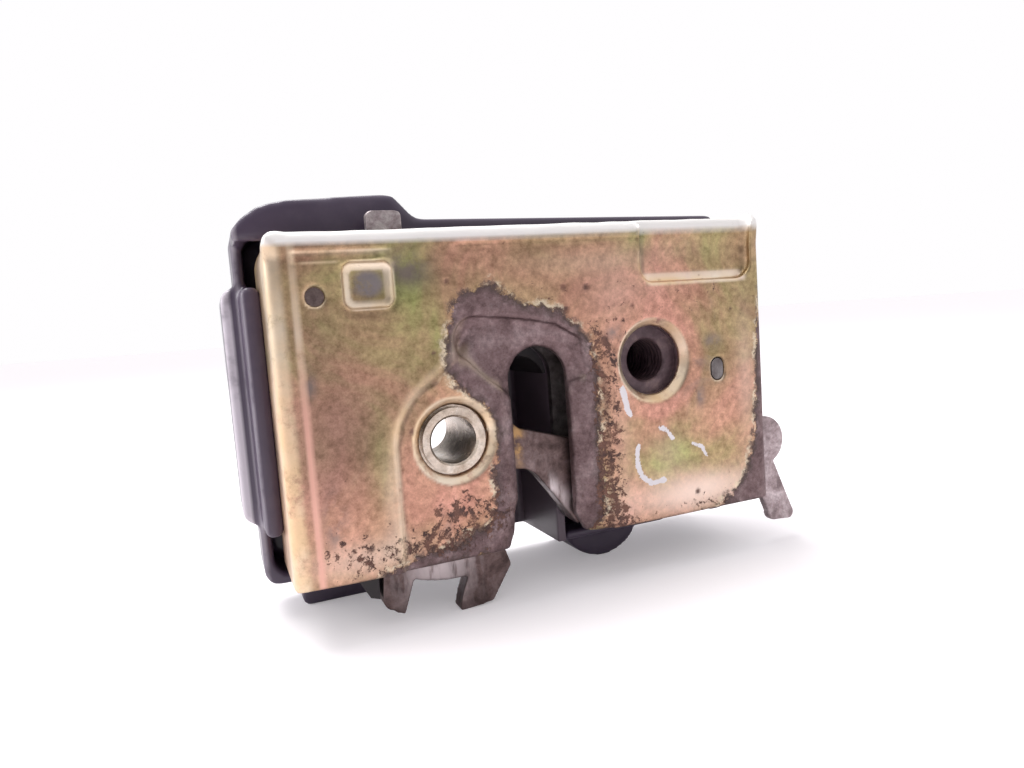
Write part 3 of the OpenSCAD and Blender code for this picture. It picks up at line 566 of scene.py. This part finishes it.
# Hills of film colour, shade, sheen, rust and dirt: x, z, two reaches and a height
OLIVE = [
    (-2.2, 20, 1.6, 5), (46, -6, 10, 6), (43.5, -9.5, 8, 3.5), (60, 12, 7, 8),
    (-13.5, -2, 2.5, 12), (-6.5, 28.5, 4, 5),
]
PINK = [
    (-20, 12, 8, 8), (33, 4, 4, 16), (10, 33, 12, 4), (42.9, 10.8, 13, 13), (0, -12, 11, 5),
    (22, 31, 16, 5), (64, 0, 6, 16), (-22, -10, 8, 12), (48, -18, 14, 4), (-9, -4, 3, 10),
    (0, 0, 10.5, 10.5), (34, 26, 16, 7), (52, 26, 8, 4),
]
SHADE = [
    (-20, 4, 10, 14, 0.75), (-26, -8, 4, 14, 0.2), (-7, 8, 4, 9, 0.3), (-23, 22, 5, 7, 0.3),
]
GLARE = [
    (52, -17.5, 17, 4.5, 0.70), (66, 6, 3.5, 18, 0.3), (34, 24, 11, 6, 0.16),
    (48, 33, 16, 4, 0.12), (-18, -18, 12, 4, 0.4), (45, -8, 6, 5, 0.22),
    (-13.0, -8, 1.6, 9, 0.25), (27, 31, 18, 3, 0.18), (34, -2, 3.5, 20, 0.2),
    (44, 26, 12, 3, 0.08),
]
RUST = [
    (1, -12.5, 9, 3.5, 0.75), (14, 25, 12, 2.5, 0.45), (36, 17, 6, 5, 0.35),
    (-5, -17.5, 14, 3.0, 0.75), (-20, -17, 6, 4, 0.5), (46, 24, 20, 4, 0.3),
    (54, -20.8, 8, 1.8, 0.7), (31, -14, 3, 9, 0.5), (64, -15, 5, 4, 0.4),
    (35, -21, 6, 2.5, 0.5), (4, -16, 8, 3.5, 0.6), (-9, -19.5, 9, 2, 0.45),
]
DIRT = [
    (-22.5, -11.0, 1.6, 4.5), (33.9, 16.8, 1.7, 1.7), (-24.5, 12.5, 1.0, 2.5),
    (53.6, 2.6, 1.1, 2.2), (57.5, 13.5, 2.0, 1.4), (-6.5, 31.0, 4.0, 3.0),
]
# Rust pits: x, z and radius
PITS = [
    (23.3, 26.4, 0.7), (28.2, 26.1, 0.8), (23.6, 22.2, 0.7), (38.3, 22.1, 0.5),
    (31.6, 15.7, 1.0), (-7.8, 2.7, 0.6), (-3.0, 16.2, 0.5), (0.3, 28.5, 0.5),
    (51.8, -17.6, 0.6), (47.5, 26.0, 0.4), (62.5, 20.0, 0.4), (-17.0, -16.5, 0.6),
]
# Dents and swellings of the sheet, positive to the rear, and the press marks under the top bend
DENTS = [(1.6, 11.9, 3.6, 2.2, -0.5, 20), (3.0, 17.4, 1.2, 2.6, 1.3, -28), (0, 33, 7.0, 3.5, 0.25)]
CORNER_DENTS = [(27.0, -22.5, 4.5, 5.0, 0.8), (-27.0, -22.0, 4.0, 4.0, 0.5)]
PRESS_LINES = [
    [(-25, 34.0), (-10, 34.2)],
    [(-25, 32.9), (-12, 33.2)],
    [(2.5, 34.7), (40.5, 35.1)],
]
# Distance kept from each opening when the sheet is evened out
KEEP_OFF = [(LEFT_HOLE, 8.6), (RIGHT_HOLE, 9.2), (PIN_HOLE, 2.2), (TENON, 3.0)]
# Paint lies on the front face only: how deep that reaches, and the field's value off the paint
PAINT_DEPTH, NO_PAINT = 1.4, -5.0


def from_hole(x, z, hole):
    """Distance from the middle of a hole, in mm."""
    return np.hypot(x - hole[0], z - hole[1])


def slot_distance(x, z):
    """Distance outside the edge of the striker slot, in mm."""
    head = SLOT_TOP - SLOT_R
    flare = SLOT_FLARE * ease(-z, 14.0, 23.0)
    side = np.abs(x - SLOT_X) - SLOT_R - flare
    return np.where(z < head, side, np.hypot(x - SLOT_X, z - head) - SLOT_R)


def fill_bend(a, b):
    """Factor that fills out a round bend; a and b run from its axis towards its two faces."""
    u, v = np.clip(a, 0, BEND_R) / BEND_R, np.clip(b, 0, BEND_R) / BEND_R
    full = np.maximum((u ** BEND_POWER + v ** BEND_POWER) ** (1 / BEND_POWER), 1e-6)
    return np.where((u > 0.01) & (v > 0.01), np.hypot(u, v) / full, 1.0)


def tighten_bends(x, depth, z):
    """Makes the plate's bends as tight as the photograph shows them."""
    for side, edge, grow in ((-1, LEFT, LEFT_GROW), (1, RIGHT, RIGHT_GROW)):
        a, b = side * (x - edge) + BEND_R, BEND_R - depth
        factor = fill_bend(a, b)
        x = np.where(a > 0, edge - side * BEND_R + side * a * factor, x)
        depth = np.where(a > 0, BEND_R - b * factor, depth)
        x = x + side * grow * ease(a, 0, BEND_R)
    a, b = z - TOP + BEND_R, BEND_R - depth
    factor = fill_bend(a, b)
    z = np.where(a > 0, TOP - BEND_R + a * factor, z)
    depth = np.where(a > 0, BEND_R - b * factor, depth)
    z = z + (TOP_GROW + TOP_RISE * ease(x, LEFT, RIGHT)) * ease(a, 0, BEND_R)
    return x, depth, z


def shape_plate(mesh):
    """Eases the pressed fields, rolls the slot's edge and adds the sheet's unevenness."""
    points = points_of(mesh)
    x, z = points[:, 0], points[:, 2]
    depth = points[:, 1] - FRONT_Y
    x, depth, z = tighten_bends(x, depth, z)
    slot = slot_distance(x, z)
    sheet = ease(x, LEFT + 4.2, LEFT + 6.5) * ease(-x, 4.0 - RIGHT, 6.0 - RIGHT)
    sheet *= ease(-z, 4.2 - TOP, 5.4 - TOP) * ease(z, BOTTOM + 0.6, BOTTOM + 1.8)
    sheet *= ease(slot, 2.2, 3.4)
    for at, reach in KEEP_OFF:
        sheet *= ease(from_hole(x, z, at), reach, reach + 1.2)
    depth = relax(mesh, depth, sheet, 7)

    front = ease(-depth, -5.0, -3.2)
    push = hills(x, z, DENTS)
    for line in PRESS_LINES:
        push += 0.28 * band(line_field(x, z, line), 0.8, 0.0)
    push += 1.4 * np.clip(1 - slot / 3.0, 0, 1) ** 2 * np.clip((4.1 - depth) / 3.3, 0, 1)
    push += hills(x, z, CORNER_DENTS)
    wave = np.array([noise.noise(Vector((px * 0.05, 3.1, pz * 0.05))) for px, pz in zip(x, z)])
    # Ragged horn at the upper right corner, where the flange ends
    horn = hump(x, depth, RIGHT - 0.8, 2.0, 1.6, 2.5) * ease(z, TOP - 3.0, TOP - 0.6)
    edge = np.array([noise.noise(Vector((px * 0.2, 7.7, py * 0.3))) for px, py in zip(x, depth)])
    raised = z + 1.1 * horn + 0.15 * edge * ease(z, TOP - 1.5, TOP - 0.3)
    moved = x + SLOT_SHIFT * ease(-slot, -5.0, -1.0)
    depth = depth + front * (push + 0.22 * wave)
    move_points(mesh, np.stack([moved, depth + FRONT_Y, raised], 1))
    return moved, depth, raised


def square_recess(x, z):
    """Distance outside the rim of the square recess, whose corners are round."""
    across, up = np.abs(x - SQUARE_X) - SQUARE_ACROSS, np.abs(z - SQUARE_Z) - SQUARE_UP
    corner = np.hypot(np.maximum(across, 0), np.maximum(up, 0))
    return corner + np.minimum(np.maximum(across, up), 0) - SQUARE_ROUND


def paint_zones(mesh, x, y, z):
    """Writes the fields of wear, rust, film colour, dirt, pits and paint."""
    worn = np.maximum(polygon_field(x, z, WORN_ZONE), polygon_field(x, z, WORN_CORNER))
    add_field(mesh, "worn", np.clip(worn, -8, 3))
    add_field(mesh, "bare", 0.9 * ease(hump(x, z, -13.2, 28.8, 2.7, 2.3), 0.15, 0.65))
    strip = 0.84 * np.clip(polygon_field(x, z, RUST_STRIP) / 2.0 + 0.5, 0, 1)
    add_field(mesh, "rust", np.clip(strip + hills(x, z, RUST), 0, 1))
    halo = band(from_hole(x, z, RIGHT_HOLE) - HALO_RING, 2.4, 0.6)
    tint = hills(x, z, PINK) - 1.2 * hills(x, z, OLIVE) + halo
    add_field(mesh, "tint", np.clip(tint, -1.6, 1.3))
    add_field(mesh, "dirt", np.clip(hills(x, z, DIRT), 0, 0.85))
    pits = [ease(r - from_hole(x, z, (px, pz)), -0.2, 0.4) for px, pz, r in PITS]
    add_field(mesh, "pit", np.clip(sum(pits), 0, 1))
    paint = np.full(x.shape, NO_PAINT)
    for line, width in PAINT_LINES:
        paint = np.maximum(paint, width - line_field(x, z, line))
    paint[y > PAINT_DEPTH] = NO_PAINT
    add_field(mesh, "paint", paint)


def paint_edges(mesh, x, y, z):
    """Writes the fields of painted shade, painted sheen, and rubbed metal with painted highlights
    along walls, bends and rings.
    """
    nx, ny, nz = normals_of(mesh)
    front = ease(-ny, 0.2, 0.5)
    wall = front * ease(-x, 5.0 - RIGHT, 6.0 - RIGHT) * ease(x, LEFT + 4.5, LEFT + 6)
    wall *= ease(-z, 3.5 - TOP, 4.5 - TOP) * ease(slot_distance(x - SLOT_SHIFT, z), 1.5, 3.0)
    # Walls that face up or right get a painted highlight, walls that face down or left get painted
    # shade
    wall_highlight = wall * (ease(nz, 0.12, 0.45) + 0.7 * ease(nx, 0.12, 0.45))
    wall_shade = wall * (ease(-nz, 0.10, 0.45) + 0.8 * ease(-nx, 0.12, 0.45))
    # The square recess gets a painted highlight, one broad pale band along its wall all round
    rim = square_recess(x, z)
    square_highlight = band(rim + 0.6, 1.0, 0.5) * front
    wall_highlight *= 1 - band(rim + 0.5, 2.2, 1.5)
    wall_shade *= 1 - band(rim + 0.5, 2.2, 1.5)
    # Ridge of the pressed field, with a painted highlight on its crest and painted shade at its
    # foot
    wall_highlight += 0.3 * band(line_field(x + 0.5, z, FIELD_EDGE), 1.2, 0.1)
    wall_shade += 0.6 * band(line_field(x - 0.9, z, FIELD_EDGE), 0.8, 0.1)
    # The corner recess gets painted shade along its left wall and a painted highlight on its foot
    wall_shade += 0.9 * band(x - CORNER_LEFT, 1.4, 0.5) * ease(z, TOP - 9.5, TOP - 8.5) * front
    foot_highlight = band(z - CORNER_FOOT, 1.6, 0.7) * ease(x, RIGHT - 29.0, RIGHT - 27.0) * front
    foot_highlight *= ease(-x, 3.0 - RIGHT, 4.5 - RIGHT)
    add_field(mesh, "shade", np.clip(hills(x, z, SHADE) + 0.8 * wall_shade, 0, 1))
    sheen = hills(x, z, GLARE) + 0.4 * square_highlight + 0.65 * foot_highlight
    add_field(mesh, "glare", np.clip(sheen, 0, 1))

    # Rubbed rings round the holes, the right one painted lighter on one side, and painted
    # highlights on the left flange, the walls, the left bend and the upper press mark
    lit = 0.8 + 0.2 * np.sin(np.arctan2(z - RIGHT_HOLE[1], x - RIGHT_HOLE[0]) - 2.3)
    wear_and_highlight = lit * band(from_hole(x, z, RIGHT_HOLE) - RIGHT_RING, 1.1, 0.4)
    wear_and_highlight += 0.85 * band(from_hole(x, z, LEFT_HOLE) - LEFT_RING, 0.9, 0.35)
    wear_and_highlight += ease(-x, -LEFT - 2.8, -LEFT - 1.4) * (0.3 + 0.5 * ease(-y, -5.5, -3.0))
    wear_and_highlight += 0.8 * wall_highlight
    # Painted highlight along the left bend, pale metal above and pink below
    bend_highlight = band(x - LEFT - 4.0, 0.9, 0.2)
    wear_and_highlight += 0.7 * bend_highlight * ease(z, 6, 22)
    wear_and_highlight += 0.6 * square_highlight + 0.4 * foot_highlight
    mark_highlight = band(z - 34.2, 0.45, 0.1) * ease(-x, 8.0, 10.0) * ease(x, -26.0, -25.0)
    wear_and_highlight += 0.5 * mark_highlight * front
    add_field(mesh, "wear_and_highlight", np.clip(wear_and_highlight, 0, 1) * 0.9)
    # The top bend painted near white, a highlight where the light falls from above
    top_bend_highlight = ease(z - TOP_RISE * ease(x, LEFT, RIGHT), TOP - 2.0, TOP - 0.8)
    add_field(mesh, "top_bend_highlight", np.clip(top_bend_highlight * ease(-y, -3.8, -2.0), 0, 0.95))
    add_field(mesh, "salmon", bend_highlight * (0.2 + 0.7 * ease(-z, -24, -4)))


def make_plate():
    mesh = soft_copy("latch_plate", 0.42, 3, "plate_skin").data
    x, y, z = shape_plate(mesh)
    paint_zones(mesh, x, y, z)
    paint_edges(mesh, x, y, z)


CLAW_POLISH = [
    (19.0, -12.0, 3.5, 1.8, 1.1, -35), (24.5, -15.5, 2.5, 2.0, 0.7), (-4.0, -24.0, 7.0, 6.0, 0.7),
]
CLAW_GOLD = [(13.6, -2.5, 1.1, 4.0, 1.2)]


def make_claw():
    """The claw, with places polished by the striker and a last strip of golden film."""
    mesh = soft_copy("claw", 0.3, 2, "claw_skin").data
    x, _, z = points_of(mesh).T
    add_field(mesh, "polish", np.clip(hills(x, z, CLAW_POLISH), 0, 0.9))
    add_field(mesh, "gold", np.clip(hills(x, z, CLAW_GOLD), 0, 0.85))


def make_cover():
    """The rear cover, with a painted highlight on the front edge and rib of its left side panel.
    """
    mesh = soft_copy("rear_cover", 0.62, 6, "cover_skin").data
    facing = -normals_of(mesh)[1]
    x = points_of(mesh)[:, 0]
    # Painted highlight on the left panel's front edge and a fainter one on its rib
    edge = ease(-x, 34.4, 34.9) * ease(facing, 0.0, 0.3)
    rib = 0.35 * band(x + 33.2, 0.6, 0.15) * ease(facing, 0.2, 0.5)
    add_field(mesh, "pale", edge + rib)


make_plate()
make_claw()
soft_copy("release_lever", 0.22, 2, "release_lever_skin")
soft_copy("locking_lever", 0.25, 2, "locking_lever_skin")
make_cover()
soft_copy("striker_guide", 0.4, 2, "guide_skin")

# Stage


def stage_material(name, colour, glow):
    """A pale surface that the camera and reflections see as bright as it is written."""
    s = Shader(name)
    s.set(Base_Color=colour, Roughness=0.9)
    tree = s.tree
    path = tree.nodes.new("ShaderNodeLightPath")
    bounced = s.math("MAXIMUM", path.outputs["Is Glossy Ray"], path.outputs["Is Transmission Ray"])
    seen = s.math("MAXIMUM", path.outputs["Is Camera Ray"], s.math("MULTIPLY", bounced, 0.3))
    glow_node = tree.nodes.new("ShaderNodeEmission")
    glow_node.inputs["Color"].default_value = (1.0, 0.97, 1.0, 1.0)
    s.link(s.math("MULTIPLY", seen, glow), glow_node.inputs["Strength"])
    both = tree.nodes.new("ShaderNodeAddShader")
    s.link(s.bsdf.outputs["BSDF"], both.inputs[0])
    s.link(glow_node.outputs["Emission"], both.inputs[1])
    s.link(both.outputs["Shader"], s.out.inputs["Surface"])
    return s.mat


def flat_box(name, low, high, material):
    data = bpy.data.meshes.new(name)
    mesh = bmesh.new()
    bmesh.ops.create_cube(mesh, size=1.0)
    centre, size = (Vector(low) + Vector(high)) / 2, Vector(high) - Vector(low)
    for v in mesh.verts:
        v.co = Vector([centre[i] + v.co[i] * size[i] for i in range(3)]) * MM
    mesh.to_mesh(data)
    mesh.free()
    obj = bpy.data.objects.new(name, data)
    bpy.context.scene.collection.objects.link(obj)
    data.materials.append(material)


floor_paint = stage_material("floor_paint", (0.80, 0.77, 0.79), 0.26)
flat_box("floor", (-5000, -4000, FLOOR_MM - 20), (6000, 6000, FLOOR_MM), floor_paint)

# Light


def area_light(name, place, aim, size, power):
    data = bpy.data.lights.new(name, "AREA")
    data.shape = "RECTANGLE"
    data.size, data.size_y = size
    data.energy = power
    light = bpy.data.objects.new(name, data)
    light.location = place
    light.rotation_euler = (Vector(aim) - Vector(place)).to_track_quat("-Z", "Y").to_euler()
    bpy.context.scene.collection.objects.link(light)


# The room's dim patch: its direction, the cosines of its edge and its heart, and the two lights
DIM_TOWARD = Vector((-0.24, -1.0, 0.02)).normalized()
DIM_EDGE, DIM_HEART = 0.62, 0.97
ROOM_LIGHT, DIM_LIGHT = 0.95, 0.22


def make_world():
    """A white room with one dim patch, in front and to the left, where the photographer stands."""
    world = bpy.data.worlds.new("world")
    bpy.context.scene.world = world
    world.use_nodes = True
    tree = world.node_tree
    tree.nodes.clear()
    coord = tree.nodes.new("ShaderNodeTexCoord")
    toward = tree.nodes.new("ShaderNodeVectorMath")
    toward.operation = "DOT_PRODUCT"
    tree.links.new(coord.outputs["Generated"], toward.inputs[0])
    toward.inputs[1].default_value = DIM_TOWARD
    dim = tree.nodes.new("ShaderNodeMapRange")
    dim.interpolation_type = "SMOOTHSTEP"
    tree.links.new(toward.outputs["Value"], dim.inputs["Value"])
    dim.inputs["From Min"].default_value = DIM_EDGE
    dim.inputs["From Max"].default_value = DIM_HEART
    dim.inputs["To Min"].default_value = ROOM_LIGHT
    dim.inputs["To Max"].default_value = DIM_LIGHT
    path = tree.nodes.new("ShaderNodeLightPath")
    total = tree.nodes.new("ShaderNodeMath")
    total.operation = "MAXIMUM"
    tree.links.new(dim.outputs["Result"], total.inputs[0])
    tree.links.new(path.outputs["Is Camera Ray"], total.inputs[1])
    back = tree.nodes.new("ShaderNodeBackground")
    back.inputs["Color"].default_value = (1.0, 0.99, 1.0, 1.0)
    tree.links.new(total.outputs[0], back.inputs["Strength"])
    out = tree.nodes.new("ShaderNodeOutputWorld")
    tree.links.new(back.outputs["Background"], out.inputs["Surface"])


make_world()
area_light("top_light", (-0.15, 0.2, 0.65), (0.02, 0.0, 0.0), (0.5, 0.4), 5.0)
area_light("left_light", (-0.6, 0.15, 0.3), (0.0, 0.0, 0.0), (0.35, 0.35), 1.6)
